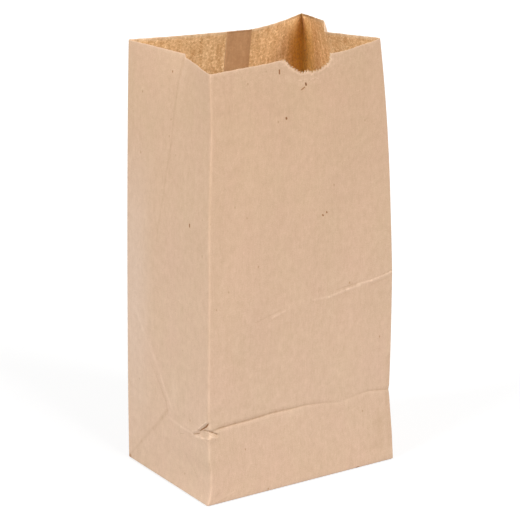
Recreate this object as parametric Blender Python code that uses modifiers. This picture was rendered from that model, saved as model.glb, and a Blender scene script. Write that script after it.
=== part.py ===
"""A brown kraft paper lunch bag, open and standing on its square bottom.

One sheet is wrapped into a tube with a glued lap down the back wall, creased inward
down the middle of both sides and closed below by two glued flaps. The score lines of
the fold pattern are cut into a flat-sided box, and each vertex of that net is then set
where the opened bag holds it. Metres, +Z up. The origin is under the middle of the
bottom, and the front wall, the one with the thumb notch, faces -Y.
"""

import math

import bmesh
import bpy
from mathutils import Vector

# The sheet, and the box that it opens into
PAPER = 0.00012
WIDTH = 0.125
DEPTH = 0.086
HEIGHT = 0.250

# The fold pattern: the front wall and both sides carry the crease of the folded-up
# bottom, and each side a crease down its middle from the tip of that fold. The crease
# is pushed in at the mouth, and this dies away downwards with a power of the height
FOLD_UP = DEPTH / 2
CREASE_DEPTH = 0.011
CREASE_CURVE = 5.0

# The glued lap in the back wall, and the flaps under the bottom
LAP_LEFT = -0.002
LAP_WIDTH = 0.0175
FLAP_OVERLAP = 0.010
FLAP_MARGIN = 0.0006
INNER_FLAP_MARGIN = 0.0012
FLOOR = 2 * PAPER

# How far below the full height the mouth is cut, at the corners and either side of the
# two side creases. The layers were cut folded, so the front and back lips differ there
FRONT_LEFT_DROP = 0.0058
FRONT_RIGHT_DROP = 0.0033
BACK_RIGHT_DROP = 0.0054
BACK_LEFT_DROP = 0.0038
LEFT_CREASE_FRONT_DROP = 0.0067
LEFT_CREASE_BACK_DROP = 0.0048
RIGHT_CREASE_FRONT_DROP = 0.0065
RIGHT_CREASE_BACK_DROP = 0.0002
LIP_STEP = 0.0010
LIP_BAND = 0.060
LIP_RISE = 0.0013
LIP_RISE_PEAK = 0.37

# The thumb notch torn in the middle of the front lip: how far each point of its edge is
# across from its middle and down from the lip, from left to right, and its fine teeth
NOTCH_CENTRE = 0.0005
NOTCH_EDGE = (
    (-0.0156, -0.0004),
    (-0.0137, 0.0006),
    (-0.0110, 0.0036),
    (-0.0067, 0.0066),
    (-0.0043, 0.0080),
    (-0.0025, 0.0086),
    (-0.0009, 0.0080),
    (0.0015, 0.0083),
    (0.0037, 0.0091),
    (0.0055, 0.0084),
    (0.0080, 0.0086),
    (0.0094, 0.0077),
    (0.0116, 0.0065),
    (0.0137, 0.0057),
    (0.0148, 0.0045),
    (0.0151, 0.0022),
    (0.0155, -0.0001),
)
NOTCH_TOOTH = 0.0003
NOTCH_CLEAR = 0.0100

# How each corner fold stands at the mouth: its drift from the square box, and the power
# of the height with which that drift grows
FRONT_LEFT_LEAN = Vector((0.0028, -0.0022))
FRONT_RIGHT_LEAN = Vector((-0.0078, 0.0062))
BACK_RIGHT_LEAN = Vector((-0.0055, 0.0010))
BACK_LEFT_LEAN = Vector((0.0020, -0.0050))
FRONT_LEFT_CURVE = 1.0
FRONT_RIGHT_CURVE = 2.5
BACK_RIGHT_CURVE = 2.0
BACK_LEFT_CURVE = 1.7

# The front wall swells and the back wall sags in at the mouth, each most at its peak
FRONT_BOW = 0.0090
FRONT_BOW_PEAK = 0.72
BACK_BOW = 0.0130
BACK_BOW_PEAK = 0.60
BOW_CURVE = 2.0

# The crease across the front keeps its corners pinched, and the left one is crumpled
PINCH_SIDE = 0.0014
PINCH_FRONT = 0.0012
PINCH_REACH = 0.070
CRUMPLE_DENT = 0.0022
CRUMPLE_UP = 0.0060
CRUMPLE_DOWN = 0.0030
CRUMPLE_SIDE = 0.0150
CRUMPLE_FRONT = 0.0060

# The net of the box: its rows and columns, and the width of a step where a layer ends
ROWS_BELOW_FOLD = 5
ROWS_ABOVE_FOLD = 21
FRONT_COLUMNS = 20
HALF_SIDE_COLUMNS = 5
LAYER_STEP = 0.0003
TOUCH = 1e-6


def clear_scene():
    for item in list(bpy.data.objects):
        bpy.data.objects.remove(item, do_unlink=True)


def new_collection(name):
    made = bpy.data.collections.new(name)
    bpy.context.scene.collection.children.link(made)
    return made


def kraft_paper():
    made = bpy.data.materials.new("kraft_paper")
    made.use_nodes = True
    shader = made.node_tree.nodes["Principled BSDF"]
    shader.inputs["Base Color"].default_value = (0.70, 0.48, 0.31, 1.0)
    shader.inputs["Roughness"].default_value = 0.85
    shader.inputs["Metallic"].default_value = 0.0
    return made


def mesh_object(name, bm, collection):
    mesh = bpy.data.meshes.new(name)
    bm.to_mesh(mesh)
    bm.free()
    made = bpy.data.objects.new(name, mesh)
    collection.objects.link(made)
    return made


def score(bm, faces, point, normal):
    """Cuts a straight score line across the given faces."""
    geometry = set(faces)
    for face in faces:
        geometry.update(face.edges)
        geometry.update(face.verts)
    bmesh.ops.bisect_plane(
        bm, geom=list(geometry), dist=TOUCH, plane_co=point, plane_no=normal
    )


def scored_box():
    """The box without a lid, with the lines of the fold pattern and its net cut in."""
    bm = bmesh.new()
    bmesh.ops.create_cube(bm, size=1.0)
    bmesh.ops.scale(bm, vec=(WIDTH, DEPTH, HEIGHT - FLOOR), verts=bm.verts)
    bmesh.ops.translate(bm, vec=(0, 0, (HEIGHT + FLOOR) / 2), verts=bm.verts)
    lid = max(bm.faces, key=lambda face: face.calc_center_median().z)
    bmesh.ops.delete(bm, geom=[lid], context="FACES_ONLY")

    heights = [FOLD_UP * n / ROWS_BELOW_FOLD for n in range(1, ROWS_BELOW_FOLD + 1)]
    rise = (HEIGHT - FOLD_UP) / ROWS_ABOVE_FOLD
    heights += [FOLD_UP + rise * n for n in range(1, ROWS_ABOVE_FOLD)]
    heights += [FOLD_UP - CRUMPLE_DOWN, FOLD_UP + CRUMPLE_UP]
    for up in heights:
        score(bm, bm.faces[:], (0, 0, up), (0, 0, 1))

    pitch = WIDTH / FRONT_COLUMNS
    acrosses = [pitch * n - WIDTH / 2 for n in range(1, FRONT_COLUMNS)]
    lap_right = LAP_LEFT + LAP_WIDTH
    acrosses += [LAP_LEFT, LAP_LEFT - LAYER_STEP, lap_right, lap_right + LAYER_STEP]
    acrosses += [CRUMPLE_FRONT / 2 - WIDTH / 2]
    for across in acrosses:
        score(bm, bm.faces[:], (across, 0, 0), (1, 0, 0))

    pitch = DEPTH / 2 / HALF_SIDE_COLUMNS
    backs = [pitch * n - DEPTH / 2 for n in range(1, 2 * HALF_SIDE_COLUMNS)]
    backs += [-LIP_STEP, CRUMPLE_SIDE / 3 - DEPTH / 2]
    for back in backs:
        score(bm, bm.faces[:], (0, back, 0), (0, 1, 0))

    for slope in (-1, 1):
        low_sides = [
            face
            for face in bm.faces
            if abs(face.normal.x) > 0.5 and face.calc_center_median().z < FOLD_UP
        ]
        score(bm, low_sides, (0, slope * DEPTH / 2, 0), (0, 1, slope))
    return bm


def fade(share):
    """1 at a share of 0, falling straight to 0 at a share of 1."""
    return max(0.0, 1.0 - abs(share))


def hump(share, peak):
    """A soft hump over a wall, 0 at both its ends and 1 at the peak."""
    run = share / peak if share < peak else (1 - share) / (1 - peak)
    return math.sin(math.pi / 2 * run)


def corner(x_side, y_side, up):
    """Where one corner fold stands, seen from above, at one height."""
    lean, curve = {
        (-1, -1): (FRONT_LEFT_LEAN, FRONT_LEFT_CURVE),
        (1, -1): (FRONT_RIGHT_LEAN, FRONT_RIGHT_CURVE),
        (1, 1): (BACK_RIGHT_LEAN, BACK_RIGHT_CURVE),
        (-1, 1): (BACK_LEFT_LEAN, BACK_LEFT_CURVE),
    }[x_side, y_side]
    spot = Vector((x_side * WIDTH / 2, y_side * DEPTH / 2))
    if y_side < 0:
        reach = FOLD_UP if up < FOLD_UP else PINCH_REACH
        pinch = fade((up - FOLD_UP) / reach)
        spot -= Vector((x_side * PINCH_SIDE, y_side * PINCH_FRONT)) * pinch
    return spot + lean * (max(up - FLOOR, 0.0) / HEIGHT) ** curve


def outward(start, end):
    """The unit vector out of a wall that runs anticlockwise from start to end."""
    run = (end - start).normalized()
    return Vector((run.y, -run.x))


def front_wall(across, up):
    start, end = corner(-1, -1, up), corner(1, -1, up)
    share = across / WIDTH + 0.5
    bow = FRONT_BOW * hump(share, FRONT_BOW_PEAK) * (up / HEIGHT) ** BOW_CURVE
    drop = FRONT_LEFT_DROP + (FRONT_RIGHT_DROP - FRONT_LEFT_DROP) * share
    drop -= LIP_RISE * hump(share, LIP_RISE_PEAK)
    return start.lerp(end, share) + outward(start, end) * bow, drop


def back_wall(across, up):
    start, end = corner(-1, 1, up), corner(1, 1, up)
    share = across / WIDTH + 0.5
    bow = BACK_BOW * hump(share, BACK_BOW_PEAK) * (up / HEIGHT) ** BOW_CURVE
    lap_end = LAP_LEFT + LAP_WIDTH + LAYER_STEP / 2
    lap = PAPER * share if across < lap_end else 0.0
    drop = BACK_LEFT_DROP + (BACK_RIGHT_DROP - BACK_LEFT_DROP) * share
    return start.lerp(end, share) + outward(start, end) * (bow - lap), drop


def side_wall(x_side, back, up):
    start, end = corner(x_side, -1, up), corner(x_side, 1, up)
    share = back / DEPTH + 0.5
    deep = CREASE_DEPTH * (max(0.0, up - FOLD_UP) / (HEIGHT - FOLD_UP)) ** CREASE_CURVE
    dent = outward(start, end) * x_side * deep * fade(2 * share - 1)
    if x_side < 0:
        ends = FRONT_LEFT_DROP, LEFT_CREASE_FRONT_DROP, LEFT_CREASE_BACK_DROP, BACK_LEFT_DROP
    else:
        ends = FRONT_RIGHT_DROP, RIGHT_CREASE_FRONT_DROP, RIGHT_CREASE_BACK_DROP, BACK_RIGHT_DROP
    if back > -LIP_STEP / 2:
        drop = ends[2] + (ends[3] - ends[2]) * (2 * share - 1)
    else:
        drop = ends[0] + (ends[1] - ends[0]) * 2 * share
    return start.lerp(end, share) - dent, drop


def crumple(spot):
    """How deeply the crushed corner is pushed in at a place on the flat box."""
    reach_up = CRUMPLE_UP if spot.z > FOLD_UP else CRUMPLE_DOWN
    beside = (spot.x + WIDTH / 2) / CRUMPLE_FRONT + (spot.y + DEPTH / 2) / CRUMPLE_SIDE
    return CRUMPLE_DENT * fade(abs(spot.z - FOLD_UP) / reach_up + beside)


def opened(spot):
    """Where the opened bag holds a place on the flat-sided box."""
    if spot.y < TOUCH - DEPTH / 2:
        plan, drop = front_wall(spot.x, spot.z)
    elif spot.y > DEPTH / 2 - TOUCH:
        plan, drop = back_wall(spot.x, spot.z)
    elif abs(spot.x) > WIDTH / 2 - TOUCH:
        plan, drop = side_wall(math.copysign(1, spot.x), spot.y, spot.z)
    else:
        return spot.copy()
    band = max(0.0, 1 - (HEIGHT - spot.z) / LIP_BAND)
    plan += Vector((1.0, 1.0)).normalized() * crumple(spot)
    return Vector((plan.x, plan.y, spot.z - drop * band * band))


def bag_wall(collection):
    bm = scored_box()
    lap = [
        vert.index
        for vert in bm.verts
        if vert.co.y > DEPTH / 2 - TOUCH
        and LAP_LEFT - TOUCH < vert.co.x < LAP_LEFT + LAP_WIDTH + TOUCH
    ]
    for vert in bm.verts:
        vert.co = opened(vert.co)
    bag = mesh_object("paper_bag", bm, collection)
    bag.data.materials.append(kraft_paper())
    layers = bag.vertex_groups.new(name="two_layers")
    layers.add(lap, 1.0, "REPLACE")
    wall = bag.modifiers.new("Paper", "SOLIDIFY")
    wall.thickness = 2 * PAPER
    wall.vertex_group = layers.name
    wall.thickness_vertex_group = 0.5
    wall.offset = -1.0
    wall.use_even_offset = True
    return bag


def plate(name, outline, middle, thickness, collection):
    """A flat outline given thickness either side of its plane."""
    bm = bmesh.new()
    verts = [bm.verts.new(point) for point in outline]
    bm.faces.new(verts)
    made = mesh_object(name, bm, collection)
    made.location = middle
    body = made.modifiers.new("Thickness", "SOLIDIFY")
    body.thickness = thickness
    body.offset = 0.0
    made.hide_render = True
    made.display_type = "WIRE"
    return made


def flap_outline(side, edge, margin):
    """A bottom flap from its fold to its cut edge, mitred at 45 degrees at both ends."""
    fold = side * (DEPTH / 2 - margin)
    half = WIDTH / 2 - margin
    narrow = half - DEPTH / 2 + margin
    if edge * side < 0:
        outline = [(-half, fold), (half, fold), (narrow, 0), (narrow, edge)]
        outline += [(-narrow, edge), (-narrow, 0)]
    else:
        inner = half - abs(fold - edge)
        outline = [(-half, fold), (half, fold), (inner, edge), (-inner, edge)]
    return [(x, y, 0) for x, y in outline]


def notch_outline():
    """The torn edge of the thumb notch, with a tooth between every two of its points."""
    outline = []
    for (x, down), (next_x, next_down) in zip(NOTCH_EDGE, NOTCH_EDGE[1:]):
        middle = (down + next_down) / 2
        outline.append((x, 0, -down))
        outline.append(((x + next_x) / 2, 0, -middle - NOTCH_TOOTH))
    last_x, last_down = NOTCH_EDGE[-1]
    outline.append((last_x, 0, -last_down))
    return outline + [(last_x, 0, NOTCH_CLEAR), (NOTCH_EDGE[0][0], 0, NOTCH_CLEAR)]


def boolean(target, other, operation):
    made = target.modifiers.new(other.name, "BOOLEAN")
    made.operation = operation
    made.object = other
    made.solver = "EXACT"


def build():
    clear_scene()
    parts = new_collection("paper_lunch_bag")
    cutters = new_collection("cutters")
    bag = bag_wall(parts)

    buried = PAPER / 2
    outer = plate(
        "outer_flap",
        flap_outline(1, -FLAP_OVERLAP, FLAP_MARGIN),
        (0, 0, (FLOOR + buried) / 2),
        FLOOR + buried,
        cutters,
    )
    inner = plate(
        "inner_flap",
        flap_outline(-1, -FLAP_OVERLAP / 2, INNER_FLAP_MARGIN),
        (0, 0, (PAPER + FLOOR + buried) / 2),
        FLOOR + buried - PAPER,
        cutters,
    )
    boolean(bag, outer, "UNION")
    boolean(bag, inner, "UNION")

    spot, drop = front_wall(NOTCH_CENTRE, HEIGHT)
    notch = plate(
        "thumb_notch",
        notch_outline(),
        (spot.x, spot.y, HEIGHT - drop),
        DEPTH / 4,
        cutters,
    )
    boolean(bag, notch, "DIFFERENCE")


build()
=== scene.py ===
import math

import bmesh
import bpy
import numpy as np
from mathutils import Matrix, Vector
from mathutils.geometry import delaunay_2d_cdt


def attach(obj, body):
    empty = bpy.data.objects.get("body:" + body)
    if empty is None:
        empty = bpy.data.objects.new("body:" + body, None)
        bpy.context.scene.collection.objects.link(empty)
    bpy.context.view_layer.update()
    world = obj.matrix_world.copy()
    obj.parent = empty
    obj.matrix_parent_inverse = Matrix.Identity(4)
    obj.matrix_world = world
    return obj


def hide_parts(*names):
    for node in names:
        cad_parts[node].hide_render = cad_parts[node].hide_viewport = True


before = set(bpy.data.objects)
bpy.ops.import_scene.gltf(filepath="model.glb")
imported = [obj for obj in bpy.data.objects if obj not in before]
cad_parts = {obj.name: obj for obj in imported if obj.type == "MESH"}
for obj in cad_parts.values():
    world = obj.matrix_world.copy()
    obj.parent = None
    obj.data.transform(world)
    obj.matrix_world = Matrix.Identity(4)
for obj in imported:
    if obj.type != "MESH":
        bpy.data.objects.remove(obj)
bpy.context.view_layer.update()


# The studio. The bag stands on a pale table top that runs on past the picture on every
# side, between two far, wide, soft lamps, at its left and in front, under an even pale
# sky. A long lens looks at it from the front left, from a little above its mouth.

lens_turn = math.radians(-32.735)
lens_tilt = math.radians(18.363)
lens_roll = math.radians(-0.195)
lens_aim = Vector((0.00012, 0.0, 0.1194))
lens_distance = 1.488
lens_length, sensor_width, lens_nearest = 184.37, 36.0, 0.05

toward_lens = Vector(
    (
        math.sin(lens_turn) * math.cos(lens_tilt),
        -math.cos(lens_turn) * math.cos(lens_tilt),
        math.sin(lens_tilt),
    )
)
level = Vector((0, 0, 1)).cross(toward_lens).normalized()
upright = toward_lens.cross(level)
rolled_level = level * math.cos(lens_roll) + upright * math.sin(lens_roll)
rolled_upright = upright * math.cos(lens_roll) - level * math.sin(lens_roll)

camera = bpy.data.objects.new("camera", bpy.data.cameras.new("camera"))
camera.data.lens = lens_length
camera.data.sensor_width = sensor_width
camera.data.clip_start = lens_nearest
camera.matrix_world = Matrix.Translation(lens_aim + toward_lens * lens_distance) @ Matrix(
    (rolled_level, rolled_upright, toward_lens)
).transposed().to_4x4()
bpy.context.collection.objects.link(camera)
bpy.context.scene.camera = camera
bpy.context.scene.view_settings.view_transform = "Standard"


class Signal:
    """A value on its way through a shader, so that sums on it read as sums."""

    def __init__(self, recipe, socket):
        self.recipe = recipe
        self.socket = socket

    def reckon(self, operation, *terms):
        return self.recipe.node("ShaderNodeMath", {"operation": operation}, dict(enumerate(terms)))

    def __add__(self, other):
        return self.reckon("ADD", self, other)

    def __sub__(self, other):
        return self.reckon("SUBTRACT", self, other)

    def __rsub__(self, other):
        return self.reckon("SUBTRACT", other, self)

    def __mul__(self, other):
        return self.reckon("MULTIPLY", self, other)

    def __truediv__(self, other):
        return self.reckon("DIVIDE", self, other)

    def __lt__(self, other):
        return self.reckon("LESS_THAN", self, other)

    def __gt__(self, other):
        return self.reckon("GREATER_THAN", self, other)

    def __abs__(self):
        return self.reckon("ABSOLUTE", self)

    __radd__ = __add__
    __rmul__ = __mul__

    def held(self, low, high):
        """The value, kept between two bounds."""
        return self.reckon("MINIMUM", self.reckon("MAXIMUM", self, low), high)

    def most(self, other):
        return self.reckon("MAXIMUM", self, other)

    def rising(self, start, run):
        """0 up to the start, and from there evenly up to 1 over the run."""
        return ((self - start) / run).held(0, 1)

    def falling(self, end, run):
        """1 below the run that leads up to the end, and from there evenly down to 0."""
        return ((end - self) / run).held(0, 1)

    def near(self, middle, reach):
        """1 where the value is at the middle, falling softly to 0 at the reach."""
        away = (abs(self - middle) / reach).held(0.0, 1.0)
        return (1 - away * away) * (1 - away * away)


class Recipe:
    """The node tree of one finish."""

    def __init__(self, tree):
        self.tree = tree
        tree.nodes.clear()

    def node(self, kind, settings=None, sockets=None, out=0):
        """Adds a node: its settings first, then the values or links of its sockets."""
        made = self.tree.nodes.new(kind)
        for name, value in (settings or {}).items():
            if name == "curve":
                track = made.mapping.curves[0]
                while len(track.points) < len(value):
                    track.points.new(0.5, 0.5)
                for point, spot in zip(track.points, value):
                    point.location = spot
                    point.handle_type = "VECTOR"
                made.mapping.update()
            else:
                setattr(made, name, value)
        for name, value in (sockets or {}).items():
            if isinstance(value, Signal):
                self.tree.links.new(value.socket, made.inputs[name])
            else:
                made.inputs[name].default_value = value
        return Signal(self, made.outputs[out]) if made.outputs else made

    def vector(self, operation, *terms, out=0):
        settings = {"operation": operation}
        return self.node("ShaderNodeVectorMath", settings, dict(enumerate(terms)), out)

    def blended(self, factor, first, second):
        """The first colour where the factor is 0, and the second where it is 1."""
        pair = [c if isinstance(c, Signal) else (*c, 1.0) for c in (first, second)]
        sockets = {0: factor, 6: pair[0], 7: pair[1]}
        return self.node("ShaderNodeMix", {"data_type": "RGBA"}, sockets, out=2)

    def noise(self, place, scale, detail=2.0, roughness=0.5):
        sockets = {"Vector": place, "Scale": scale, "Detail": detail, "Roughness": roughness}
        return self.node("ShaderNodeTexNoise", None, sockets)

    def seen(self):
        """1 for a ray from the lens, or one that a gloss or clear thing passed on."""
        lens, gloss, clear = [self.node("ShaderNodeLightPath", out=kind) for kind in (0, 3, 6)]
        return lens.most(gloss).most(clear)


sky_strength, table_tone, table_glow, lamp_spread = 0.30, 0.42, 0.71, 34

sky = bpy.data.worlds.new("pale_sky")
sky.use_nodes = True
air = Recipe(sky.node_tree)
sky_light = air.node("ShaderNodeBackground", None, {"Color": (1, 1, 1, 1), "Strength": sky_strength})
sky_seen = air.node("ShaderNodeBackground", None, {"Color": (1, 1, 1, 1), "Strength": 1.0})
sky_mix = air.node("ShaderNodeMixShader", None, {0: air.seen(), 1: sky_light, 2: sky_seen})
air.node("ShaderNodeOutputWorld", None, {"Surface": sky_mix})
bpy.context.scene.world = sky

table_size, table_gap = 6.0, 0.0004
table_top = bmesh.new()
bmesh.ops.create_grid(table_top, x_segments=6, y_segments=6, size=table_size)
bmesh.ops.translate(table_top, vec=(0, 0, -table_gap), verts=table_top.verts)
table_mesh = bpy.data.meshes.new("table_top")
table_top.to_mesh(table_mesh)
table_top.free()
table = bpy.data.objects.new("table_top", table_mesh)
bpy.context.collection.objects.link(table)
pale = bpy.data.materials.new("pale_table")
pale.use_nodes = True
top = Recipe(pale.node_tree)
card = top.node("ShaderNodeBsdfDiffuse", None, {"Color": (table_tone, table_tone, table_tone, 1)})
glow = {"Color": (1, 1, 1, 1), "Strength": top.seen() * table_glow}
lift = top.node("ShaderNodeEmission", None, glow)
whole = top.node("ShaderNodeAddShader", None, {0: card, 1: lift})
top.node("ShaderNodeOutputMaterial", None, {"Surface": whole})
table_mesh.materials.append(pale)

for name, spot, strength in (
    ("left_lamp", (-2.0, -0.12, 1.1), 2.15),
    ("front_lamp", (0.55, -2.2, 1.4), 2.19),
):
    lamp = bpy.data.objects.new(name, bpy.data.lights.new(name, "SUN"))
    lamp.data.energy = strength
    lamp.data.angle = math.radians(lamp_spread)
    facing = Vector(spot).to_track_quat("Z", "Y")
    lamp.matrix_world = Matrix.Translation(spot) @ facing.to_matrix().to_4x4()
    bpy.context.collection.objects.link(lamp)


# The sheet: one web of brown kraft paper, pasted into a tube along a lap in the back wall,
# with both sides creased inward. It was packed flat with its square bottom folded up over
# the front, and opened by hand, so its corners lean and one of them is crushed.

mm = 0.001
paper = 0.00012
wide, deep, tall = 0.125, 0.086, 0.250
half, side_mid, side_end = wide / 2, wide / 2 + deep / 2, wide / 2 + deep
fold_up = deep / 2
floor_up = 2 * paper
lap_left, lap_right = -0.0017, 0.0158
lap_end = side_end + half + lap_right
lap_start = side_end + half - lap_left
slack, lap_rise = 0.00002, 0.012

corner_lean = {
    "front left": ((0.0028, -0.0022), 1.0),
    "front right": ((-0.0078, 0.0062), 2.5),
    "back right": ((-0.0055, 0.0010), 2.0),
    "back left": ((0.0020, -0.0050), 1.7),
}
lip_drop = {
    "front left": 0.0058,
    "front right": 0.0033,
    "back right": 0.0054,
    "back left": 0.0038,
    "left crease": (0.0067, 0.0048),
    "right crease": (0.0065, 0.0002),
}
lip_step, lip_band = 0.0010, 0.060
front_lip_rise = (
    (0.0, 0.0), (0.08, 0.00025), (0.21, 0.00075), (0.366, 0.0014), (0.5, 0.0008), (0.64, 0.00028),
    (0.72, 0.0001), (0.825, 0.0009), (0.96, 0.0002), (1.0, 0.0),
)
back_lip_fall = (
    (0.0, 0.0), (0.35, 0.0002), (0.50, 0.0006), (0.625, 0.0012), (0.80, 0.0006), (1.0, 0.0),
)
side_dent, side_dent_curve = 0.011, 5.0
front_swell, front_swell_peak = 0.0090, 0.72
back_sag, back_sag_peak, back_sag_curve = 0.0130, 0.60, 3.3
pinch_side, pinch_front, pinch_reach = 0.0014, 0.0012, 0.070

# How far the two front folds stand off their smooth lean, by height, along the front
fold_wander = {
    "front left": (
        (0.0, 0.0), (0.003, 0.0012), (0.008, 0.0021), (0.018, 0.0021), (0.025, 0.0008), (0.040, 0.0),
        (0.060, 0.0), (0.091, 0.0004), (0.117, 0.0007), (0.153, 0.0002), (0.190, 0.0008),
        (0.209, 0.0012), (0.224, 0.0010), (0.242, 0.0001), (0.250, 0.0),
    ),
    "front right": (
        (0.0, 0.0005), (0.017, 0.0003), (0.034, -0.0004), (0.0400, -0.0006), (0.043, -0.0010),
        (0.0455, -0.0005), (0.066, -0.0003), (0.090, -0.0002), (0.112, -0.0001), (0.149, 0.0),
        (0.172, 0.0003), (0.200, 0.0004), (0.250, 0.0003),
    ),
}

# The crease over the front wanders a little, and is pressed in hardest near its left end
crease_line = (
    (-0.0625, 0.0428), (-0.0557, 0.0439), (-0.0445, 0.0446), (-0.0300, 0.0448), (-0.0195, 0.0454),
    (-0.0060, 0.0453), (0.0020, 0.0457), (0.0164, 0.0442), (0.0261, 0.0426), (0.0400, 0.0445),
    (0.0471, 0.0450), (0.0583, 0.0432), (0.0625, 0.0430),
)
crease_press = (
    (-0.0625, 0.2), (-0.0560, 1.0), (-0.0300, 1.0), (-0.0060, 0.75), (0.0100, 0.40), (0.0261, 0.15),
    (0.0400, 0.15), (0.0500, 0.55), (0.0625, 0.4),
)
crease_depth, crease_above, crease_below = 0.00030, 0.0028, 0.0009

# How far either side of a fold the paper bends, and within this reach of a side crease
fold_softness, crease_softness, crease_reach = 0.0014, 0.0020, 0.006

# How far the folds and the foot hold the walls flat, how the foot draws in, and how far
# up and down the front its bent crease pulls the paper
fold_hold, foot_hold, calm_margin = 0.012, 0.030, 0.002
foot_draw, foot_height = 0.0005, 0.0006
crease_ease = 0.03

# How deep the walls wave, and how ragged the lip was cut, fading out over a band
upright_wave, slanting_wave, level_wave = 0.00022, 0.00016, 0.00012
ragged_coarse, ragged_fine, ragged_band = 0.00008, 0.00005, 0.004

# The crushed corner, in millimetres from where the crease meets the front left fold: along
# the sheet, up, and how far the paper stands out
crushed = (
    (0, 7.5, 0), (-5.5, 5.6, 0), (-11, 1.2, 0), (-19, -3.4, 0), (-18.5, -7, 0), (-7, -8.4, 0),
    (0, -6.4, 0), (6, -7, 0), (8.5, -3.2, 0), (6.5, 0.8, 0), (3.5, 4.4, 0),
    (-1.3, 6.0, 0.25), (-4.8, 3.0, 0.45), (-9.5, -0.6, 0.45), (-14.6, -4.0, 0.30),
    (-0.5, 5.0, -0.50), (-3.9, 1.9, -0.85), (-8.5, -1.7, -0.90), (-10.2, -3.9, -0.75),
    (-15.0, -5.2, -0.15), (-5.2, 0.1, -0.35), (0.3, 1.5, -0.10), (2.7, 0.4, 0.0),
    (5.2, -1.0, 0.10), (-5.2, -0.9, -0.95), (0.2, 0.5, -1.00), (2.4, -0.7, -0.85),
    (5.2, -1.9, -0.40), (-10.6, -4.7, -0.55), (-6.7, -4.1, -0.70), (-0.5, -2.5, -0.75),
    (-12.2, -5.8, 0.20), (-7.0, -5.3, 0.45), (-0.2, -3.6, 0.35), (2.6, -3.0, 0.45), (4.6, -4.1, 0.45),
)

# The millimetres over which it turns from standing out of the side to out of the front
crushed_turn = 3


def spread(points, key):
    """A table of points, read as a curve."""
    xs, ys = zip(*points)
    return np.interp(key, xs, ys)


def swell(share, peak):
    """A soft hump over a wall, 0 at both its ends and 1 at the peak."""
    run = np.where(share < peak, share / peak, (1 - share) / (1 - peak))
    return np.sin(np.pi / 2 * np.clip(run, -0.2, 1))


def fold_stand(name, up):
    """Where one of the four corner folds stands at each height, seen from above."""
    (lean_x, lean_y), curve = corner_lean[name]
    side_x = -1 if "left" in name else 1
    side_y = -1 if "front" in name else 1
    rise = (np.clip(up - floor_up, 0, None) / tall) ** curve
    spot = np.stack(
        [side_x * wide / 2 + lean_x * rise, side_y * deep / 2 + lean_y * rise], axis=-1
    )
    if side_y < 0:
        reach = np.where(up < fold_up, fold_up, pinch_reach)
        pinch = np.clip(1 - np.abs(up - fold_up) / reach, 0, None)
        spot -= np.stack([side_x * pinch_side * pinch, side_y * pinch_front * pinch], axis=-1)
        spot[..., 0] += spread(fold_wander[name], up)
    return spot


def wall(start, end, share, out, peak=0.5, shape=swell):
    """Points on a wall between two folds, swelling by out to the right of its run."""
    run = end - start
    run = run / np.linalg.norm(run, axis=-1, keepdims=True)
    right_hand = np.stack([run[..., 1], -run[..., 0]], axis=-1)
    return start + (end - start) * share[..., None] + right_hand * (out * shape(share, peak))[..., None]


def bent(share, peak):
    """A straight fold in the middle of a wall."""
    return 1 - np.abs(share - peak) / peak


def pose(along, up):
    """The place and the lip drop of each spot of the sheet, with every fold still sharp.
    Along runs round the tube from 0 in the middle of the front wall, rightward."""
    front_left, front_right = fold_stand("front left", up), fold_stand("front right", up)
    back_left, back_right = fold_stand("back left", up), fold_stand("back right", up)
    growth = (up / tall) ** 2
    share = along / wide + 0.5
    plan = wall(front_left, front_right, share, front_swell * growth, front_swell_peak)
    drop = lip_drop["front left"] + (lip_drop["front right"] - lip_drop["front left"]) * share
    drop = drop - spread(front_lip_rise, share)

    opened_side = side_dent * (np.clip(up - fold_up, 0, None) / (tall - fold_up)) ** side_dent_curve
    for side, start, end, names in (
        (1, front_right, back_right, ("front right", "right crease", "back right")),
        (-1, front_left, back_left, ("front left", "left crease", "back left")),
    ):
        share = (side * along - wide / 2) / deep
        on_side = share > 0
        dented = wall(start, end, share, -side * opened_side, 0.5, bent)
        plan = np.where(on_side[..., None], dented, plan)
        front_part = share < 0.5 - lip_step / 2 / deep
        near, far = lip_drop[names[1]]
        first = lip_drop[names[0]] + (near - lip_drop[names[0]]) * 2 * share
        second = far + (lip_drop[names[2]] - far) * (2 * share - 1)
        drop = np.where(on_side, np.where(front_part, first, second), drop)

    past = np.abs(along) - wide / 2 - deep
    x = np.where(along > 0, wide / 2 - past, past - wide / 2)
    share = x / wide + 0.5
    inner = np.clip((x - lap_right) / lap_rise, 0, 1)
    tucked = np.where(along > 0, (paper + slack) * (1 - inner * inner * (3 - 2 * inner)), 0)
    sag = back_sag * (up / tall) ** back_sag_curve
    back = wall(back_left, back_right, share, sag, back_sag_peak)
    run = back_right - back_left
    inward = np.stack([run[..., 1], -run[..., 0]], axis=-1)
    inward = inward / np.linalg.norm(run, axis=-1, keepdims=True)
    back = back + inward * tucked[..., None]
    plan = np.where((past > 0)[..., None], back, plan)
    back_drop = lip_drop["back left"] + (lip_drop["back right"] - lip_drop["back left"]) * share
    back_drop = back_drop + spread(back_lip_fall, share)
    return plan, np.where(past > 0, back_drop, drop)


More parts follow.
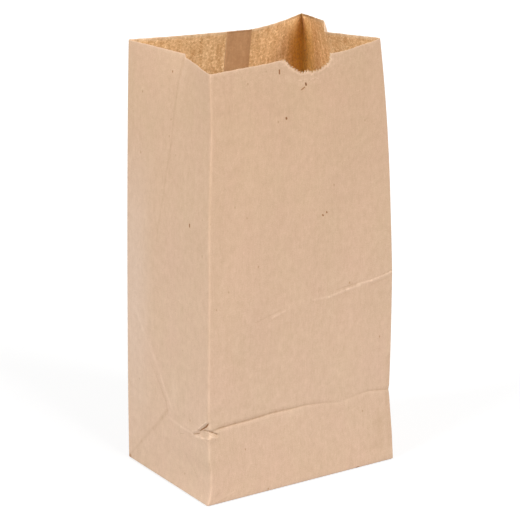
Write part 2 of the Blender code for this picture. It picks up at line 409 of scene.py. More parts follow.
def crush(along, up):
    """How far the paper stands out at the crushed corner, and about which way."""
    spots = [Vector((a, v)) for a, v, _ in crushed]
    verts, _, faces, origin, _, _ = delaunay_2d_cdt(spots, [], [], 0, 1e-6)
    stands = [crushed[first[0]][2] for first in origin]
    a = (along + wide / 2) / mm
    v = (up - fold_up) / mm
    out = np.zeros_like(a)
    for face in faces:
        (ax, ay), (bx, by), (cx, cy) = (verts[k] for k in face)
        whole = (by - cy) * (ax - cx) + (cx - bx) * (ay - cy)
        first = ((by - cy) * (a - cx) + (cx - bx) * (v - cy)) / whole
        second = ((cy - ay) * (a - cx) + (ax - cx) * (v - cy)) / whole
        third = 1 - first - second
        inside = (first >= -1e-9) & (second >= -1e-9) & (third >= -1e-9)
        height = first * stands[face[0]] + second * stands[face[1]] + third * stands[face[2]]
        out = np.where(inside, height * mm, out)
    toward_front = np.clip(a / crushed_turn + 0.5, 0, 1)
    way = np.stack([-(1 - toward_front), -toward_front], axis=-1)
    return way / np.linalg.norm(way, axis=-1, keepdims=True) * out[..., None]


def opened_sheet(along, up):
    """The sheet as it stands: folds rounded by the paper's stiffness, and gently uneven."""
    folds = np.array([-half, half, -side_end, side_end])
    creases = np.array([-side_mid, side_mid])
    to_crease = np.abs(along[..., None] - creases).min(axis=-1)
    softness = np.where(to_crease < crease_reach, crease_softness, fold_softness)
    on_front = np.abs(along) < half
    line = np.where(on_front, spread(crease_line, along), fold_up)
    shift = (line - fold_up) * np.clip(1 - np.abs(up - line) / crease_ease, 0, 1)
    plan = np.zeros((*along.shape, 2))
    for step in (-1.0, -0.5, 0.0, 0.5, 1.0):
        weight = 0.125 if abs(step) == 1.0 else 0.25
        plan += weight * pose(along + step * softness, up - shift)[0]
    drop = pose(along, up)[1]

    run = pose(along + mm / 2, up)[0] - pose(along - mm / 2, up)[0]
    out = np.stack([run[..., 1], -run[..., 0]], axis=-1)
    out /= np.linalg.norm(out, axis=-1, keepdims=True)
    to_fold = np.abs(along[..., None] - folds).min(axis=-1)
    free = np.clip(to_fold / fold_hold, 0, 1) * np.clip(up / foot_hold, 0, 1)
    on_back = np.abs(along) > side_end - calm_margin
    uneven = (
        upright_wave * np.sin(along * 150 + 1.3 * np.sin(up * 21) + 0.4)
        + slanting_wave * np.sin(along * 67 - up * 38 + 1.9)
        + level_wave * np.sin(up * 88 + 2.2 * np.sin(along * 31) + 0.7)
    )
    uneven = np.where(on_back, 0.0, uneven * free)
    bank = np.where(up > line, crease_above, crease_below)
    groove = np.clip(1 - np.abs(up - line) / bank, 0, 1) ** 1.5 * crease_depth
    groove = np.where(on_front, groove * spread(crease_press, along), 0)
    foot = np.clip(1 - (up - floor_up) / foot_height, 0, 1) ** 2 * foot_draw
    plan = plan + out * (uneven - groove - foot)[..., None] + crush(along, up)

    band = np.clip(1 - (tall - up) / lip_band, 0, None)
    edge = np.clip(1 - (tall - up) / ragged_band, 0, None)
    ragged = ragged_coarse * np.sin(along * 900 + 3 * np.sin(along * 170))
    ragged = ragged + ragged_fine * np.sin(along * 2300)
    height = up - drop * band * band + ragged * edge
    return np.concatenate([plan, height[..., None]], axis=-1)


def evenly(stops, pitches):
    """Places from stop to stop, at about each pitch."""
    places = [np.array([stops[0]])]
    for start, end, pitch in zip(stops, stops[1:], pitches):
        count = max(1, round(abs(end - start) / pitch))
        places.append(np.linspace(start, end, count + 1)[1:])
    return np.concatenate(places)


# The grid of the sheet: finer at the folds, the bottom crease, the crushed corner, and
# under the notch
columns = evenly(
    (
        -lap_end, -lap_end + lap_right - lap_left, -side_end - 1.5 * mm, -side_end + 1.5 * mm,
        -side_mid - 2.2 * mm, -side_mid, -side_mid + lip_step, -side_mid + 2.2 * mm,
        -half - 18 * mm, -half - 1.5 * mm, -half + 1.5 * mm, -half + 8.5 * mm,
        -17 * mm, 18 * mm, half - 1.5 * mm, half + 1.5 * mm,
        side_mid - 2.2 * mm, side_mid - lip_step, side_mid, side_mid + 2.2 * mm,
        side_end - 1.5 * mm, side_end + 1.5 * mm, side_end + half - lap_right, lap_start,
    ),
    (
        1.75 * mm, 2.7 * mm, 0.5 * mm,
        1.9 * mm, 0.55 * mm, lip_step, 0.6 * mm,
        1.9 * mm, 0.5 * mm, 0.5 * mm, 0.5 * mm,
        2.0 * mm, 1.1 * mm, 2.0 * mm, 0.5 * mm,
        2.6 * mm, 0.6 * mm, lip_step, 0.55 * mm,
        2.6 * mm, 0.5 * mm, 2.7 * mm, 1.75 * mm,
    ),
)
rows = evenly(
    (floor_up, floor_up + 0.6 * mm, 35 * mm, 52 * mm, 234 * mm, tall),
    (0.15 * mm, 2.4 * mm, 0.5 * mm, 2.4 * mm, 1.2 * mm),
)
along, up = np.meshgrid(columns, rows, indexing="ij")
places = opened_sheet(along, up)

sheet_mesh = bmesh.new()
web = sheet_mesh.loops.layers.uv.new("web")
grid = [[sheet_mesh.verts.new(places[i, j]) for j in range(len(rows))] for i in range(len(columns))]
for i in range(len(columns) - 1):
    for j in range(len(rows) - 1):
        quad = ((i, j), (i + 1, j), (i + 1, j + 1), (i, j + 1))
        face = sheet_mesh.faces.new([grid[a][b] for a, b in quad])
        face.smooth = True
        for loop, (a, b) in zip(face.loops, quad):
            loop[web].uv = (columns[a], rows[b])

# The foot takes its paper from a part of the web that no mark of the walls falls on
foot_apart = 0.5
foot = sheet_mesh.faces.new([grid[i][0] for i in reversed(range(len(columns)))])
for loop in foot.loops:
    loop[web].uv = (loop.vert.co.x, loop.vert.co.y - foot_apart)


# The web of the paper: how many clouds, strands and the like it holds to the metre, and
# how far they are drawn out up the bag
patch_count, drift_count, strand_count, thread_count = 95.0, 42.0, 1300.0, 360.0
grain_count, bark_count, ruffle_count, wear_count = 1900.0, 260.0, 480.0, 90.0
drawn_out, drawn_long = (1.0, 0.6, 1.0), (1.0, 0.16, 1.0)
patch_shift, thread_shift, ruffle_shift = (0.7, 0.3, 0), (3.1, 1.7, 0), (0.4, 0.9, 0)
hair_width, sliver_share, sliver_size = 0.02, 0.07, 0.16

# How deep its relief is, and how its marks show: how soon a fleck is at its darkest, and how much a
# ridge is painted paler for its height and a groove painted darker for its depth, as painted light and
# shade
cloud_relief, strand_relief, grain_relief, patch_relief = 0.00007, 0.000035, 0.00002, 0.00028
fleck_full, painted_light_per_height = 0.6, 1.3

# Places on the web that the finishes share
lap_inner = side_end + half - lap_right
corner_middle, corner_reach = 0.140, 0.036
crease_low, crease_span = 0.040, 0.010
painted_bounce_middle, painted_bounce_reach = (0.141, 0.100), (0.025, 0.110)


def fleece(web, across, height, cloud, thread, hair, settings):
    """The tone of the inside: pale fibres on a deeper web, with the lap's smoother band, and painted
    light on the back wall next to its right corner.
    """
    pale = (cloud - 0.5) * 1.5 + (thread - 0.5) * 0.9 + hair * 0.42 + 0.43
    pale = pale - (across - 0.130).near(0, 0.026) * 0.25
    # Painted light: the back wall next to its right corner is paler, standing in for light bounced
    # between the walls
    pale = pale + (across - 0.160).near(0, 0.011) * 0.20
    tone = web.blended(pale.held(0, 1), settings["deep"], settings["pale"])
    away = 1 - (across - corner_middle).near(0, corner_reach)
    tone = web.blended(height.rising(tall - 0.0026, 0.0020) * away * 0.6, tone, settings["rim"])
    return web.blended((across > lap_inner).held(0, 1) * 0.9, tone, settings["lap"])


def inner_light_and_shade(web, across, height, cloud, tone, shade, settings):
    """The inside's painted light and shade: painted shadow along the lip near the back right corner and
    over the lap, a pale line at one edge of the lap and painted shade along its other edge, and a warm
    painted light deep in the back corners.
    """
    # Painted shadow along the top of the lip, near the back right corner and over the lap
    by_corner = (across - corner_middle).near(0, corner_reach) * 0.50
    on_lap = (across > lap_inner).held(0, 1) * 0.20
    shade = shade - height.rising(tall - 0.0019, 0.0010) * by_corner.most(on_lap)
    # A pale line at one edge of the lap, and painted shade along its other edge
    shade = shade + (across - lap_start + 0.0005).near(0, 0.0009) * 0.16
    shade = shade - (across - lap_inner - 0.0012).near(0, 0.0036) * 0.09
    # Painted light: the line of each back corner, and the paper deep in it, take a brighter, more
    # orange tone, standing in for light bounced between the walls
    corner_line = abs(across).near(side_end, 0.0018) * 0.45
    deeper = abs(across).near(side_end, 0.020) * height.falling(0.249, 0.018)
    corner = (corner_line + deeper * (cloud * 2.4 - 0.4)).held(0, 1)
    return web.blended(corner, tone, settings["painted_corner_glow"]), shade


def wear_and_painted_shading(web, place, across, height, shade, worn):
    """The outside's wear and its painted light and shade: painted ruffles along the lip, folds worn
    pale, painted shade in the side creases with painted light next to the left one, and painted shade
    below the front crease.
    """
    on_front = abs(across) < half
    # Painted light and shade of small ruffles along the front lip
    painted_ruffles = web.noise(web.vector("ADD", place, ruffle_shift), ruffle_count, 3.0, 0.6)
    shade = shade + (painted_ruffles - 0.47) * 0.26 * (height.rising(0.229, 0.018) * on_front)

    # The corner folds are pale, more in some places than in others
    rub = web.noise(web.vector("MULTIPLY", place, (0.2, 1.0, 1.0)), wear_count, 3.0)
    rub = ((rub - 0.40) * 4).held(0.35, 1.0) * worn
    folds = abs(across).near(half + 0.0004, 0.0028).most(abs(across).near(side_end, 0.0015))
    shade = shade + folds * rub

    # Painted shade: the side creases are darker lines, on the left down to where the side lies flat.
    # Painted light brightens the paper next to the left crease, near the top and low down above the
    # bottom fold.
    crease = abs(across).near(side_mid, 0.0014) * height.rising(fold_up, 0.010)
    crease = crease * (1 - (across < 0) * height.falling(0.192, 0.030))
    painted_light_by_crease_top = (across + side_mid - 0.0035).near(0, 0.0045) * height.near(0.238, 0.020)
    painted_light_by_crease_low = (across + 0.0985).near(0, 0.0065) * height.near(0.056, 0.016)
    shade = shade - crease * 0.055 + painted_light_by_crease_top * 0.05 + painted_light_by_crease_low * 0.045
    # Painted shade: the front is a little darker below its crease
    return shade - height.falling(fold_up, 0.004) * on_front * 0.018


def creased(web, across, height, shade, relief):
    """The crease over the front wall: a dark line of painted shade under a bank, with a pale lip of
    painted light below it, over a groove sunk into the relief.
    """
    spot = {"Value": (across / wide + 0.5).held(0, 1)}
    line = [((x / wide) + 0.5, (z - crease_low) / crease_span) for x, z in crease_line]
    press = [((x / wide) + 0.5, amount) for x, amount in crease_press]
    low = web.node("ShaderNodeFloatCurve", {"curve": line}, spot) * crease_span + crease_low
    here = web.node("ShaderNodeFloatCurve", {"curve": press}, spot) * (abs(across) < half)
    over = height - low
    bank = over.rising(-0.0005, 0.0008) * over.falling(0.0030, 0.0030)
    shade = shade - (bank * 0.09 + (over - 0.0003).near(0, 0.0012) * 0.095) * here
    shade = shade + (over + 0.0014).near(0, 0.0011) * here * 0.04
    return shade, relief - over.near(0, 0.0009) * here * 0.00012


def marked(web, place, mark, shade, relief):
    """One ridge, groove or fleck, drawn as a line that fades out to its half width. A ridge is raised
    and painted paler, and a groove is sunk and painted darker, as painted light and shade; a fleck is
    only darker in tone.
    """
    kind, start, end, reach, depth = mark
    start, end = Vector(start) * mm, Vector(end) * mm
    run = end - start
    offset = web.vector("SUBTRACT", place, (start.x, start.y, 0))
    dot = web.vector("DOT_PRODUCT", offset, (run.x, run.y, 0), out=1)
    part = (dot / run.length_squared).held(0, 1)
    ahead = web.node("ShaderNodeCombineXYZ", None, {0: part * run.x, 1: part * run.y})
    gap = web.vector("LENGTH", web.vector("SUBTRACT", offset, ahead), out=1)
    line = (1 - gap / (reach * mm)).held(0, 1)
    if kind == "fleck":
        return shade * (1 - line.held(0, fleck_full) * (depth / fleck_full)), relief
    return shade * (1 + line * (depth * painted_light_per_height)), relief + line * (depth * mm)


def kraft(name, settings, marks=()):
    """Brown kraft paper: a cloudy web of long fibres laid mostly up the bag, with darker slivers of
    bark in it, matte, and scored with fine lines where it was creased. Its finishes also carry painted
    light and shade: paler ridges, darker grooves and creases, and warmer or cooler light on parts of
    the walls."""
    made = bpy.data.materials.new(name)
    made.use_nodes = True
    web = Recipe(made.node_tree)
    place = web.node("ShaderNodeUVMap", {"uv_map": "web"})
    across, height = [web.node("ShaderNodeSeparateXYZ", None, {0: place}, out=n) for n in (0, 1)]

    upward = web.vector("MULTIPLY", place, drawn_long)
    squat = web.vector("MULTIPLY", place, drawn_out)
    cloud = web.noise(place, settings["cloud"], 4.0, 0.6)
    patch = web.noise(web.vector("ADD", place, patch_shift), patch_count, 2.0)
    strand = web.noise(upward, strand_count, 3.0, 0.6)
    thread = web.noise(web.vector("ADD", upward, thread_shift), thread_count, 2.0, 0.6)
    grain = web.noise(place, grain_count, 2.0, 0.7)
    hair = web.noise(squat, settings["curl"], 1.0).near(0.5, hair_width)
    hair = hair + web.noise(place, settings["curl"] * 0.8, 1.0).near(0.42, hair_width)

    calm = 1
    if "pale" in settings:
        tone = fleece(web, across, height, cloud, thread, hair, settings)
        calm = 1 - (across > lap_inner).held(0, 1) * 0.40
    else:
        drift = web.noise(squat, drift_count, 4.0, 0.6)
        tone = ((drift - 0.5) * 2.3 + 0.5).held(0, 1)
        tone = web.blended(tone, settings["green"], settings["pink"])
    # Painted light: the outside warms towards the top, standing in for light that comes out through the
    # paper from inside
    if "painted_warm_glow" in settings:
        painted_warm_glow = web.blended(height.rising(0.05, 0.18), (1, 1, 1), settings["painted_warm_glow"])
        tone = web.vector("MULTIPLY", tone, painted_warm_glow)
    shade = (
        1
        + (cloud - 0.5) * calm * settings["cloudiness"]
        + (patch - 0.5) * settings["patches"]
        + (strand - 0.5) * settings["strands"]
        + (thread - 0.5) * settings["threads"]
        + (grain - 0.5) * calm * settings["grain"]
        + hair * calm * settings["hairs"]
    )
    bark = {"Vector": squat, "Scale": bark_count}
    cell = web.node("ShaderNodeTexVoronoi", {"feature": "F1"}, bark)
    pick = web.node("ShaderNodeTexVoronoi", {"feature": "F1"}, bark, out=1)
    chosen = web.node("ShaderNodeSeparateColor", None, {0: pick}) > 1 - sliver_share
    sliver = (1 - cell / sliver_size).held(0, 1) * chosen
    shade = shade * (1 - sliver * settings["bark"])
    relief = (cloud - 0.5) * cloud_relief + (strand - 0.5) * strand_relief
    relief = relief + (grain - 0.5) * grain_relief + (patch - 0.5) * patch_relief

    # The lip is pale where it was cut, and so are the notch's edge and the step behind it
    lip, rim = height.rising(tall - 0.0009, 0.0009), height.rising(tall - 0.0050, 0.0050)
    torn = web.node("ShaderNodeAttribute", {"attribute_name": "torn"}, None, out=2)
    shade = shade + rim * rim * 0.05 + (lip * 0.20).most(torn.held(0, 1) * settings["torn"])
    step = abs(across).near(side_mid, 0.0013) * (across > 0) * (height > 0.2435)
    shade = shade + step * 0.25
    if "painted_corner_glow" in settings:
        tone, shade = inner_light_and_shade(web, across, height, cloud, tone, shade, settings)
    if "worn" in settings:
        shade = wear_and_painted_shading(web, place, across, height, shade, settings["worn"])
        # Painted light: the back of the left side is paler and cooler, standing in for light thrown
        # back from the pale surroundings
        painted_bounce = (across + painted_bounce_middle[0]).near(0, painted_bounce_reach[0])
        painted_bounce = painted_bounce * height.near(painted_bounce_middle[1], painted_bounce_reach[1])
        tone = web.blended(painted_bounce * 0.9, tone, settings["painted_bounce"])
        # Painted light: the whole left side is a little cooler
        painted_cool_light = web.blended((-1 * across).rising(half, 0.003), (1, 1, 1), settings["left"])
        tone = web.vector("MULTIPLY", tone, painted_cool_light)
        shade, relief = creased(web, across, height, shade, relief)
    for mark in marks:
        shade, relief = marked(web, place, mark, shade, relief)

    # Darker places, the painted shade among them, turn warmer and browner, and paler places cooler
    richer = web.blended(((shade - 1) * 4 + 0.5).held(0, 1), (1, 0.97, 0.93), (1, 1.03, 1.07))
    tone = web.vector("MULTIPLY", tone, richer)
    if "browner_where_dark" in settings:
        browner_where_dark = web.blended(((0.87 - shade) * 3.5).held(0, 1), (1, 1, 1), settings["browner_where_dark"])
        tone = web.vector("MULTIPLY", tone, browner_where_dark)
    colour = web.node("ShaderNodeVectorMath", {"operation": "SCALE"}, {0: tone, "Scale": shade})

    normal = web.node("ShaderNodeBump", None, {"Height": relief, "Distance": 1.0, "Strength": 1.0})
    roughness = (0.86 + (cloud - 0.5) * 0.14 - hair * 0.05).held(0.6, 1.0)
    sockets = {"Base Color": colour, "Roughness": roughness, "Normal": normal}
    surface = web.node("ShaderNodeBsdfPrincipled", None, sockets | {"Specular IOR Level": 0.25})
    web.node("ShaderNodeOutputMaterial", None, {"Surface": surface})
    return made


# Lines that the paper keeps where it was bent, with ridges painted paler and grooves painted darker as
# painted light and shade, and flecks, most of them specks of bark and dirt, placed in millimetres on
# the web: a ridge or groove, from, to, half width, and height or darkness
outside_marks = (
    # The ridge across the right half of the front
    ("ridge", (62.5, 113.2), (60.5, 113.0), 1.0, 0.14),
    ("ridge", (60.5, 113.0), (46.2, 111.2), 1.3, 0.13),
    ("ridge", (46.2, 111.2), (36.2, 111.0), 1.1, 0.14),
    ("ridge", (38.0, 109.9), (29.2, 109.3), 1.2, 0.13),
    ("ridge", (30.5, 109.2), (16.9, 107.0), 1.2, 0.10),
    ("ridge", (16.9, 107.0), (6.1, 107.6), 1.3, 0.07),
    ("groove", (62.5, 114.1), (55.0, 113.2), 0.7, -0.08),
    ("groove", (55.0, 113.2), (44.0, 112.0), 0.7, -0.04),
    ("groove", (60.0, 110.6), (46.0, 108.9), 0.9, -0.04),
    ("ridge", (-13.2, 104.5), (-21.4, 102.0), 0.9, 0.09),
    ("groove", (-16.0, 105.6), (-32.0, 101.6), 0.7, -0.05),
    ("groove", (36.0, 111.9), (22.0, 110.2), 0.6, -0.06),
    ("groove", (48.7, 69.5), (54.0, 69.2), 0.4, -0.05),
    ("groove", (33.2, 110.2), (29.0, 109.9), 0.3, -0.06),
    # The folds of the left side, and of the right side
    ("groove", (-105.7, 41.0), (-62.6, 0.4), 0.5, -0.04),
    ("groove", (-105.9, 42.0), (-111.0, 36.4), 2.0, -0.07),
    ("groove", (-111.0, 36.4), (-120.5, 26.6), 2.1, -0.055),
    ("groove", (-120.5, 26.6), (-134.0, 14.4), 1.8, -0.04),
    ("groove", (-134.0, 14.4), (-148.4, 0.4), 1.4, -0.05),
    ("groove", (-105.7, 42.0), (-107.0, 47.3), 1.0, -0.07),
    ("groove", (-107.0, 47.3), (-114.3, 56.7), 1.0, -0.05),
    ("groove", (-114.3, 56.7), (-122.3, 65.9), 0.9, -0.04),
    ("ridge", (-101.0, 44.5), (-110.5, 57.8), 1.6, 0.05),
    ("ridge", (-110.5, 57.8), (-118.5, 70.5), 1.9, 0.045),
    ("ridge", (-118.5, 70.5), (-130.4, 83.1), 2.2, 0.035),
    ("ridge", (-130.4, 83.1), (-138.5, 93.1), 2.0, 0.025),
    ("ridge", (-103.5, 38.6), (-90.5, 37.6), 1.4, 0.06),
    ("ridge", (-90.5, 37.6), (-77.0, 37.8), 1.2, 0.07),
    ("groove", (-106.0, 196.0), (-110.5, 164.0), 1.2, -0.05),
    ("groove", (-110.5, 164.0), (-116.0, 139.0), 1.2, -0.04),
    ("fleck", (-148.0, 0.2), (-146.0, 1.6), 1.6, 0.25),
    ("fleck", (36.5, 0.4), (38.0, 0.5), 0.7, 0.60),
    ("groove", (105.5, 43.0), (62.6, 0.4), 0.5, -0.06),
    ("groove", (105.5, 43.0), (148.4, 0.4), 0.5, -0.06),
    ("groove", (-91.5, 33.4), (-87.5, 34.4), 0.5, -0.08),
    ("groove", (-62.6, 25.0), (-62.3, 20.5), 0.4, -0.10),
    # The crushed corner
    ("groove", (-62.9, 48.2), (-66.4, 45.0), 0.48, -0.24),
    ("groove", (-66.4, 45.0), (-71.2, 41.5), 0.42, -0.22),
    # Painted shade: two flecks darken the crushed corner's upper crease, where its facet faces away
    # from the light
    ("fleck", (-63.4, 47.7), (-66.2, 45.1), 0.5, 0.30),
    ("fleck", (-66.2, 45.1), (-69.6, 42.6), 0.4, 0.25),
    ("groove", (-72.4, 39.5), (-77.3, 37.8), 0.55, -0.20),
    ("groove", (-67.9, 42.7), (-62.2, 43.8), 0.40, -0.20),
    ("groove", (-62.2, 43.8), (-59.8, 42.7), 0.40, -0.18),
    ("groove", (-59.8, 42.7), (-57.0, 41.2), 0.50, -0.20),
    ("groove", (-57.0, 41.2), (-58.2, 38.2), 0.35, -0.12),
    ("ridge", (-64.3, 48.9), (-67.9, 46.1), 0.6, 0.17),
    ("ridge", (-67.9, 46.1), (-71.8, 42.9), 0.6, 0.16),
    ("ridge", (-73.6, 41.0), (-78.5, 38.9), 0.7, 0.08),
    ("ridge", (-75.5, 37.0), (-69.5, 37.7), 0.9, 0.10),
    ("ridge", (-69.5, 37.7), (-62.7, 39.3), 0.7, 0.10),
    ("ridge", (-68.6, 41.9), (-62.3, 42.7), 0.35, 0.10),
    ("ridge", (-62.3, 42.7), (-59.9, 41.4), 0.40, 0.12),
    ("ridge", (-61.6, 41.0), (-59.9, 40.1), 0.6, 0.07),
    ("ridge", (-59.9, 40.1), (-57.9, 39.0), 0.6, 0.07),
    # Round the thumb notch
    ("ridge", (-5.4, 236.4), (-3.6, 235.8), 0.5, 0.10),
    ("ridge", (-1.6, 236.2), (0.4, 236.4), 0.5, 0.10),
    ("ridge", (2.6, 235.4), (4.4, 236.0), 0.5, 0.09),
    ("ridge", (6.4, 236.2), (8.0, 235.4), 0.5, 0.08),
    ("groove", (-3.0, 235.0), (-2.0, 236.0), 0.4, -0.10),
    ("groove", (1.4, 234.9), (2.2, 236.0), 0.4, -0.08),
    ("groove", (5.0, 234.8), (5.8, 235.6), 0.4, -0.08),
    ("fleck", (-14.0, 240.0), (-4.0, 234.8), 3.0, -0.025),
    ("fleck", (-4.0, 234.8), (8.0, 235.2), 3.5, -0.030),
    ("fleck", (15.5, 242.8), (20.0, 244.6), 2.6, -0.040),
    # Small dents, specks, and two soft darker patches on the right of the front
    ("ridge", (-56.5, 2.0), (-46.0, 5.2), 0.8, 0.05),
    ("groove", (-59.0, 4.5), (-57.0, 6.5), 0.5, -0.05),
    ("fleck", (52.5, 12.0), (53.5, 28.0), 6.0, 0.045),
    ("fleck", (60.5, 10.0), (61.0, 62.0), 3.0, 0.050),
    ("groove", (-52.0, 46.6), (-50.0, 46.6), 0.6, -0.05),
    ("fleck", (-18.2, 244.4), (-18.1, 242.2), 0.60, 0.58),
    ("fleck", (-0.5, 233.9), (-0.3, 232.8), 0.70, 0.72),
    ("fleck", (-1.4, 231.6), (-3.4, 230.4), 0.55, 0.38),
    ("fleck", (-13.9, 215.1), (-13.7, 214.5), 0.75, 0.62),
    ("fleck", (11.4, 156.0), (11.9, 155.6), 0.60, 0.50),
    ("fleck", (14.2, 157.2), (14.5, 156.8), 0.60, 0.50),
    ("fleck", (-82.1, 157.4), (-82.1, 156.2), 0.65, 0.60),
    ("fleck", (-111.8, 238.0), (-111.7, 237.4), 0.55, 0.45),
)
outside = kraft(
    "kraft_outside",
    {
        # Painted light: the tone that warms towards the top, and the paler, cooler tints of the left
        # side
        "green": (0.680, 0.481, 0.330), "pink": (0.697, 0.475, 0.340), "painted_warm_glow": (0.97, 0.93, 0.87),
        "cloud": 230.0, "cloudiness": 0.19, "patches": 0.05, "strands": 0.17, "threads": 0.08,
        "grain": 0.37, "curl": 420.0, "hairs": 0.03, "bark": 0.35, "worn": 0.055, "torn": 0.33,
        "painted_bounce": (0.715, 0.517, 0.387), "left": (1.0, 1.022, 1.040), "browner_where_dark": (1, 0.68, 0.44),
    },
    outside_marks,
)
inside = kraft(
    "kraft_inside",
    {
        # The inside's tones are paler and more orange than the paper's own, as painted light that comes
        # through the paper; the lap's band takes less of it, and the corner tone is painted light
        # bounced between the walls
        "deep": (0.550, 0.270, 0.088), "pale": (0.960, 0.668, 0.365),
        "lap": (0.545, 0.300, 0.145), "painted_corner_glow": (1.0, 0.635, 0.158), "rim": (0.80, 0.60, 0.40),
        "cloud": 620.0, "cloudiness": 0.20, "patches": 0.25, "strands": 0.20, "threads": 0.22,
        "grain": 0.26, "curl": 380.0, "hairs": 0.08, "bark": 0.35, "torn": 0.15,
    },
)
cut_edge = kraft(
    "kraft_cut_edge",
    {
        "green": (0.83, 0.65, 0.45), "pink": (0.85, 0.66, 0.47),
        "cloud": 900.0, "cloudiness": 0.20, "patches": 0, "strands": 0.10, "threads": 0.06,
        "grain": 0.24, "curl": 500.0, "hairs": 0.05, "bark": 0.10, "torn": 0,
    },
)


def piece_of(name, mesh, *finishes):
    """A finished piece at the origin, from a bmesh."""
    data = bpy.data.meshes.new(name)
    mesh.to_mesh(data)
    mesh.free()
    for finish in finishes:
        data.materials.append(finish)
    made = bpy.data.objects.new(name, data)
    bpy.context.collection.objects.link(made)
    return made


def settle(made):
    """Turns a piece's modifiers into plain mesh."""
    graph = bpy.context.evaluated_depsgraph_get()
    made.data = bpy.data.meshes.new_from_object(made.evaluated_get(graph))
    made.modifiers.clear()


sheet = piece_of("kraft_sheet", sheet_mesh, outside, inside, cut_edge)
thickness = sheet.modifiers.new("thickness", "SOLIDIFY")
thickness.thickness = paper
thickness.offset = -1.0
thickness.use_even_offset = True
thickness.material_offset = 1
thickness.material_offset_rim = 2
settle(sheet)

# The thumb notch, torn out of the middle of the front lip over a fine toothed knife: its
# outline in millimetres along the web and up it, and the teeth that run along it
notch_points = (
    (-16.6, 246.6), (-14.5, 245.6), (-11.5, 242.6), (-6.8, 239.6), (-4.2, 238.2), (-2.2, 237.6),
    (-0.5, 238.2), (2.1, 237.9), (4.5, 237.1), (6.5, 237.8), (9.2, 237.6), (10.8, 238.5),
    (13.2, 239.7), (15.5, 240.5), (16.7, 241.7), (17.0, 244.0), (17.4, 246.3),
)
tooth_pitch, tooth_height, step_along = 2.1, 1.25, 0.24
fray_wide, fray_narrow = 0.11, 0.08
notch_run = [Vector(point) for point in notch_points]
walked, notch_flat = 0.0, [notch_run[0]]
for first, second in zip(notch_run, notch_run[1:]):
    count = max(1, round((second - first).length / step_along))
    aside = Vector((first.y - second.y, second.x - first.x)).normalized()
    for n in range(1, count + 1):
        walked += (second - first).length / count
        phase = walked / tooth_pitch % 1.0
        uneven = 0.45 + 0.55 * abs(math.sin(walked * 0.83 + 0.5))
        tooth = tooth_height * (2 * abs(phase - 0.5) - 0.5) * uneven
        fray = fray_wide * math.sin(walked * 7.7) + fray_narrow * math.sin(walked * 17.3 + 1)
        notch_flat.append(first.lerp(second, n / count) + aside * (tooth + fray))
notch_line = []
for point in notch_flat:
    stand = opened_sheet(np.array([point.x * mm]), np.array([tall]))[0]
    notch_line.append(Vector((stand[0], stand[1] + paper / 2, point.y * mm)))
notch_middle = (notch_line[0] + notch_line[-1]) / 2

# The knife is closed above the lip, leaning out a little at both ends
knife_rise, knife_reach = 0.012, 0.02
knife = bmesh.new()
outline = [Vector((point.x, 0, point.z)) for point in notch_line]
right_top = outline[-1] + Vector((0.0004, 0, knife_rise))
left_top = outline[0] + Vector((-0.0006, 0, knife_rise))
outline += [right_top, left_top]
near = [knife.verts.new(p + Vector((0, notch_middle.y - knife_reach, 0))) for p in outline]
far = [knife.verts.new(p + Vector((0, notch_middle.y + knife_reach, 0))) for p in outline]
knife.faces.new(near)
knife.faces.new(reversed(far))
for k in range(len(outline)):
    after = (k + 1) % len(outline)
    knife.faces.new((near[after], near[k], far[k], far[after]))
bmesh.ops.recalc_face_normals(knife, faces=knife.faces)
knife_tool = piece_of("notch_knife", knife, cut_edge)
cut = sheet.modifiers.new("notch", "BOOLEAN")
cut.operation = "DIFFERENCE"
cut.object = knife_tool
cut.solver = "EXACT"
cut.material_mode = "TRANSFER"
settle(sheet)
bpy.data.objects.remove(knife_tool, do_unlink=True)
sheet.data.set_sharp_from_angle(angle=math.radians(50))

# How torn the paper is: fully at the notch's edge, and fading out just below it
torn_full, torn_fade = 0.0002, 0.0006
torn_share = sheet.data.attributes.new("torn", "FLOAT", "POINT")
spots = np.array([vert.co for vert in sheet.data.vertices])
cut_spots = np.array(notch_line)
reach = np.full(len(spots), 1.0)
front_near, low_near = -0.03, 0.230
close = (spots[:, 1] < front_near) & (spots[:, 2] > low_near)
gaps = np.linalg.norm(spots[close][:, None, ::2] - cut_spots[None, :, ::2], axis=-1).min(axis=1)
reach[close] = gaps
torn_amount = np.clip(1 - (reach - torn_full) / torn_fade, 0, 1)
torn_share.data.foreach_set("value", torn_amount.astype(np.float32))
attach(sheet, "root")
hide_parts("paper_bag")


# The bottom flaps: the ends of the front and back walls, folded under and pasted one over
# the other, with their corners mitred at 45 degrees. They are seen from below.

flap_lap, outer_margin, inner_margin, tuck_margin = 0.010, 0.0007, 0.0012, 0.0016
flap_apart = 0.2


def flap(name, outline, low, high, finish):
    """A flat piece of the sheet between two heights, from its outline seen from above."""
    plate = bmesh.new()
    under = plate.faces.new([plate.verts.new((x, y, low)) for x, y in outline])
    under.normal_update()
    if under.normal.z > 0:
        under.normal_flip()
    grown = bmesh.ops.extrude_face_region(plate, geom=[under])
    top = [item for item in grown["geom"] if isinstance(item, bmesh.types.BMVert)]
    bmesh.ops.translate(plate, vec=(0, 0, high - low), verts=top)
    bmesh.ops.recalc_face_normals(plate, faces=plate.faces)
    layer = plate.loops.layers.uv.new("web")
    for face in plate.faces:
        for loop in face.loops:
            loop[layer].uv = (loop.vert.co.x, loop.vert.co.y - flap_apart + loop.vert.co.z)
    made = piece_of(name, plate, finish)
    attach(made, "root")


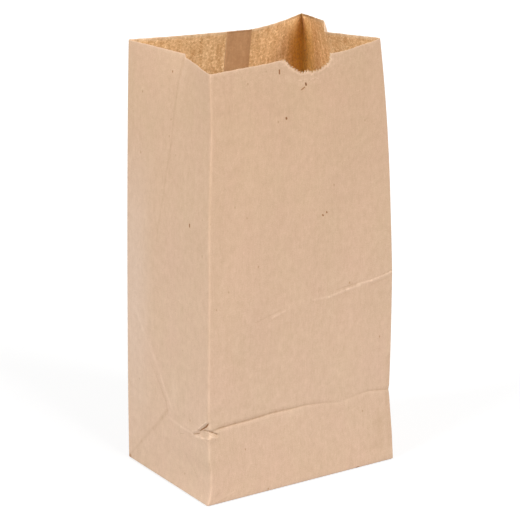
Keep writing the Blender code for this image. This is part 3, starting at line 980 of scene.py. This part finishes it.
def mitred(side, edge, margin):
    """A flap from its fold to its cut edge, in plan."""
    fold = side * (deep / 2 - margin)
    reach = wide / 2 - margin
    narrow = reach - deep / 2 + margin
    if edge * side < 0:
        tip = ((narrow, 0), (narrow, edge), (-narrow, edge), (-narrow, 0))
    else:
        tip = ((reach - abs(fold - edge), edge), (abs(fold - edge) - reach, edge))
    return ((-reach, fold), (reach, fold), *tip)


flap("outer_bottom_flap", mitred(1, -flap_lap, outer_margin), 0.0, paper, outside)
flap("inner_bottom_flap", mitred(-1, -flap_lap / 2, inner_margin), paper, floor_up, outside)

# The ends of the two sides, folded in before the flaps, and seen from inside
for side, name in ((-1, "left_tuck"), (1, "right_tuck")):
    far, aside = side * (wide / 2 - tuck_margin), deep / 2 - tuck_margin
    corners = ((far, -aside), (far, aside), (far - side * aside, 0))
    flap(name, corners, floor_up + paper, floor_up + 2 * paper, inside)


# The torn fibres: where the thumb notch was torn, single wood fibres stand out of the edge
# of the paper. They follow the notch's line and lean into the gap.

fibre_tree = bpy.data.node_groups.new("torn_fibres", "GeometryNodeTree")
asked_sockets = {
    "Geometry": "NodeSocketGeometry", "Fibres": "NodeSocketInt", "Length": "NodeSocketFloat",
    "Thickness": "NodeSocketFloat", "Gap Middle": "NodeSocketVector", "Finish": "NodeSocketMaterial",
}
for socket_name, socket_kind in asked_sockets.items():
    fibre_tree.interface.new_socket(socket_name, in_out="INPUT", socket_type=socket_kind)
fibre_tree.interface.new_socket("Geometry", in_out="OUTPUT", socket_type="NodeSocketGeometry")
fibres = Recipe(fibre_tree)
asked = {name: fibres.node("NodeGroupInput", out=name) for name in asked_sockets}
line = fibres.node("GeometryNodeMeshToCurve", None, {"Mesh": asked["Geometry"]})
dots = fibres.node(
    "GeometryNodeCurveToPoints", {"mode": "COUNT"}, {"Curve": line, "Count": asked["Fibres"]}
)
stem = fibres.node(
    "GeometryNodeMeshCone", None,
    {"Vertices": 4, "Radius Top": 0.08, "Radius Bottom": 0.5, "Depth": 1.0},
)
here = fibres.node("GeometryNodeInputPosition")
toss = {"data_type": "FLOAT_VECTOR"}
toss_reach = (0.006, 0.003, 0.004)
toss_range = {0: [-way for way in toss_reach], 1: toss_reach, "Seed": 4}
stray = fibres.node("FunctionNodeRandomValue", toss, toss_range)
inward = fibres.vector("ADD", fibres.vector("SUBTRACT", asked["Gap Middle"], here), stray)
turn = fibres.node("FunctionNodeAlignRotationToVector", {"axis": "Z"}, {"Vector": inward})
share = fibres.node(
    "FunctionNodeRandomValue", {"data_type": "FLOAT"}, {2: 0.35, 3: 1.0, "Seed": 9}, out=1
)
stretch = fibres.node(
    "ShaderNodeCombineXYZ", None,
    {0: asked["Thickness"], 1: asked["Thickness"], 2: asked["Length"] * share},
)
placed = fibres.node(
    "GeometryNodeInstanceOnPoints", None,
    {"Points": dots, "Instance": stem, "Rotation": turn, "Scale": stretch},
)
real = fibres.node("GeometryNodeRealizeInstances", None, {"Geometry": placed})
dressed = fibres.node("GeometryNodeSetMaterial", None, {"Geometry": real, "Material": asked["Finish"]})
fibres.node("NodeGroupOutput", None, {"Geometry": dressed})

edge_line = bmesh.new()
dots_on_wall = [edge_line.verts.new(point) for point in notch_line]
for first, second in zip(dots_on_wall, dots_on_wall[1:]):
    edge_line.edges.new((first, second))
torn = piece_of("torn_fibres", edge_line)
grow = torn.modifiers.new("fibres", "NODES")
grow.node_group = fibre_tree
fibre_sizes = {
    "Fibres": 190, "Length": 0.0013, "Thickness": 0.00022,
    "Gap Middle": notch_middle + Vector((0, 0, 0.004)), "Finish": cut_edge,
}
for item in fibre_tree.interface.items_tree:
    if item.in_out == "INPUT" and item.name in fibre_sizes:
        grow[item.identifier] = fibre_sizes[item.name]
settle(torn)
layer = torn.data.uv_layers.get("web") or torn.data.uv_layers.new(name="web")
for loop in torn.data.loops:
    spot = torn.data.vertices[loop.vertex_index].co
    layer.data[loop.index].uv = (spot.x, spot.z)
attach(torn, "root")
